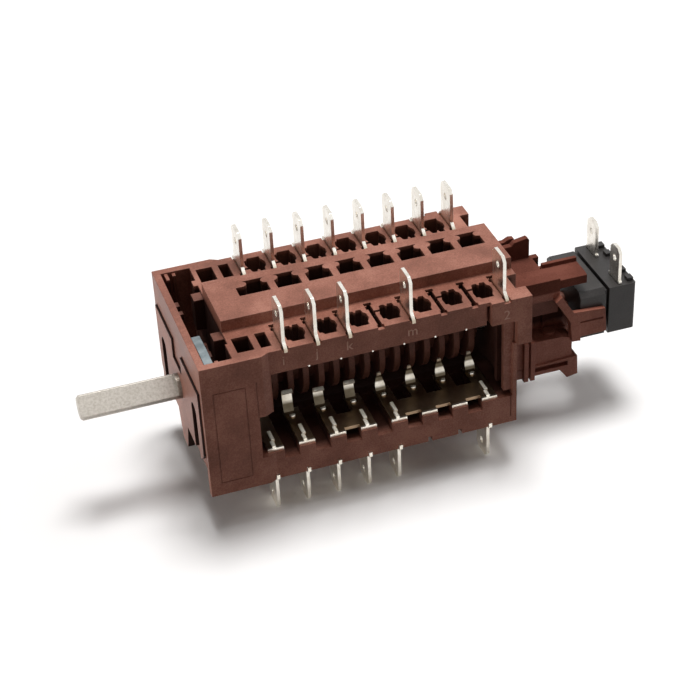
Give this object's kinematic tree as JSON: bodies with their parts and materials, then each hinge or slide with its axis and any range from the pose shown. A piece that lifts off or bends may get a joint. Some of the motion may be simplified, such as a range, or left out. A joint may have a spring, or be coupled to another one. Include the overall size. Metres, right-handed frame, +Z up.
{
  "type": "oven selector switch",
  "caption": "Rotary cam selector switch for an oven: open moulded block with push-on tab terminals above and below, flatted spindle and a snap switch in a rear bracket.",
  "frame": {"origin": "where the spindle's axis meets the front face of the block", "axes": "+X runs back along the spindle from the knob end, +Y to the side with the full row of top terminals, +Z up"},
  "size_m": [0.1351, 0.0434, 0.0554],
  "materials": {
    "brown_moulding": "matt reddish-brown thermoset moulding",
    "red_brown_moulding": "slightly glossier reddish-brown moulding",
    "drum_moulding": "satin brown moulding",
    "spindle_steel": "brushed zinc-plated steel",
    "spring_steel": "satin spring steel",
    "tinned_metal": "bright tinned terminal strip",
    "contact_metal": "bright plated contact strip",
    "black_moulding": "matt black moulding"
  },
  "bodies": {
    "block": {"front_plate": "brown_moulding", "plate_far_0": "contact_metal", "plate_far_1": "contact_metal", "plate_far_2": "contact_metal", "plate_far_4": "contact_metal", "plate_near_0": "contact_metal", "plate_near_1": "contact_metal", "plate_near_2": "contact_metal", "plate_near_4": "contact_metal", "rear_bracket": "red_brown_moulding", "snap_case_front": "black_moulding", "snap_case_rear": "black_moulding", "snap_tab_far": "tinned_metal", "snap_tab_near": "tinned_metal", "switch_housing": "brown_moulding", "tab_far_0": "tinned_metal", "tab_far_1": "tinned_metal", "tab_far_2": "tinned_metal", "tab_far_3": "tinned_metal", "tab_far_4": "tinned_metal", "tab_far_5": "tinned_metal", "tab_far_6": "tinned_metal", "tab_far_7": "tinned_metal", "tab_near_0": "tinned_metal", "tab_near_1": "tinned_metal", "tab_near_2": "tinned_metal", "tab_near_4": "tinned_metal", "tab_near_7": "tinned_metal"},
    "rotor": {"spindle": "spindle_steel", "cam_drum": "drum_moulding", "detent_wheel": "drum_moulding"},
    "leaf": {"detent_leaf": "spring_steel"},
    "button": {"snap_plunger": "drum_moulding"},
    "spring_far_0": {"blade_far_0": "contact_metal"},
    "spring_far_1": {"blade_far_1": "contact_metal"},
    "spring_far_2": {"blade_far_2": "contact_metal"},
    "spring_far_3": {"blade_far_3": "contact_metal"},
    "spring_far_4": {"blade_far_4": "contact_metal"},
    "spring_far_5": {"blade_far_5": "contact_metal"},
    "spring_far_6": {"blade_far_6": "contact_metal"},
    "spring_near_0": {"blade_near_0": "contact_metal"},
    "spring_near_1": {"blade_near_1": "contact_metal"},
    "spring_near_2": {"blade_near_2": "contact_metal"},
    "spring_near_3": {"blade_near_3": "contact_metal"},
    "spring_near_4": {"blade_near_4": "contact_metal"},
    "spring_near_5": {"blade_near_5": "contact_metal"},
    "spring_near_6": {"blade_near_6": "contact_metal"}
  },
  "joints": [
    {"name": "rotor_turn", "type": "hinge", "parent": "block", "child": "rotor", "pos_m": [0, 0, 0], "axis": [1, 0, 0], "continuous": true},
    {"name": "leaf_flex", "type": "hinge", "parent": "block", "child": "leaf", "pos_m": [0.003, -0.0195, 0.0113], "axis": [1, 0, 0], "range_deg": [0, 3], "stiffness_Nm_per_rad": 0.02},
    {"name": "button_press", "type": "slide", "parent": "block", "child": "button", "axis": [1, 0, 0], "range_m": [0, 0.0008], "stiffness_N_per_m": 300},
    {"name": "blade_far_0_flex", "type": "hinge", "parent": "block", "child": "spring_far_0", "pos_m": [0.0221, 0.0086, -0.00848], "axis": [-1, 0, 0], "range_deg": [-2, 5], "stiffness_Nm_per_rad": 0.01},
    {"name": "blade_far_1_flex", "type": "hinge", "parent": "block", "child": "spring_far_1", "pos_m": [0.0296, 0.0086, -0.00848], "axis": [-1, 0, 0], "range_deg": [-2, 5], "stiffness_Nm_per_rad": 0.01},
    {"name": "blade_far_2_flex", "type": "hinge", "parent": "block", "child": "spring_far_2", "pos_m": [0.0371, 0.0086, -0.00848], "axis": [-1, 0, 0], "range_deg": [-2, 5], "stiffness_Nm_per_rad": 0.01},
    {"name": "blade_far_3_flex", "type": "hinge", "parent": "block", "child": "spring_far_3", "pos_m": [0.0446, 0.0086, -0.00848], "axis": [-1, 0, 0], "range_deg": [-2, 5], "stiffness_Nm_per_rad": 0.01},
    {"name": "blade_far_4_flex", "type": "hinge", "parent": "block", "child": "spring_far_4", "pos_m": [0.0521, 0.0086, -0.00848], "axis": [-1, 0, 0], "range_deg": [-2, 5], "stiffness_Nm_per_rad": 0.01},
    {"name": "blade_far_5_flex", "type": "hinge", "parent": "block", "child": "spring_far_5", "pos_m": [0.0596, 0.0086, -0.00848], "axis": [-1, 0, 0], "range_deg": [-2, 5], "stiffness_Nm_per_rad": 0.01},
    {"name": "blade_far_6_flex", "type": "hinge", "parent": "block", "child": "spring_far_6", "pos_m": [0.0671, 0.0086, -0.00848], "axis": [-1, 0, 0], "range_deg": [-2, 5], "stiffness_Nm_per_rad": 0.01},
    {"name": "blade_near_0_flex", "type": "hinge", "parent": "block", "child": "spring_near_0", "pos_m": [0.0221, -0.0086, -0.00848], "axis": [1, 0, 0], "range_deg": [-2, 5], "stiffness_Nm_per_rad": 0.01},
    {"name": "blade_near_1_flex", "type": "hinge", "parent": "block", "child": "spring_near_1", "pos_m": [0.0296, -0.0086, -0.00848], "axis": [1, 0, 0], "range_deg": [-2, 5], "stiffness_Nm_per_rad": 0.01},
    {"name": "blade_near_2_flex", "type": "hinge", "parent": "block", "child": "spring_near_2", "pos_m": [0.0371, -0.0086, -0.00848], "axis": [1, 0, 0], "range_deg": [-2, 5], "stiffness_Nm_per_rad": 0.01},
    {"name": "blade_near_3_flex", "type": "hinge", "parent": "block", "child": "spring_near_3", "pos_m": [0.0446, -0.0086, -0.00848], "axis": [1, 0, 0], "range_deg": [-2, 5], "stiffness_Nm_per_rad": 0.01},
    {"name": "blade_near_4_flex", "type": "hinge", "parent": "block", "child": "spring_near_4", "pos_m": [0.0521, -0.0086, -0.00848], "axis": [1, 0, 0], "range_deg": [-2, 5], "stiffness_Nm_per_rad": 0.01},
    {"name": "blade_near_5_flex", "type": "hinge", "parent": "block", "child": "spring_near_5", "pos_m": [0.0596, -0.0086, -0.00848], "axis": [1, 0, 0], "range_deg": [-2, 5], "stiffness_Nm_per_rad": 0.01},
    {"name": "blade_near_6_flex", "type": "hinge", "parent": "block", "child": "spring_near_6", "pos_m": [0.0671, -0.0086, -0.00848], "axis": [1, 0, 0], "range_deg": [-2, 5], "stiffness_Nm_per_rad": 0.01}
  ]
}
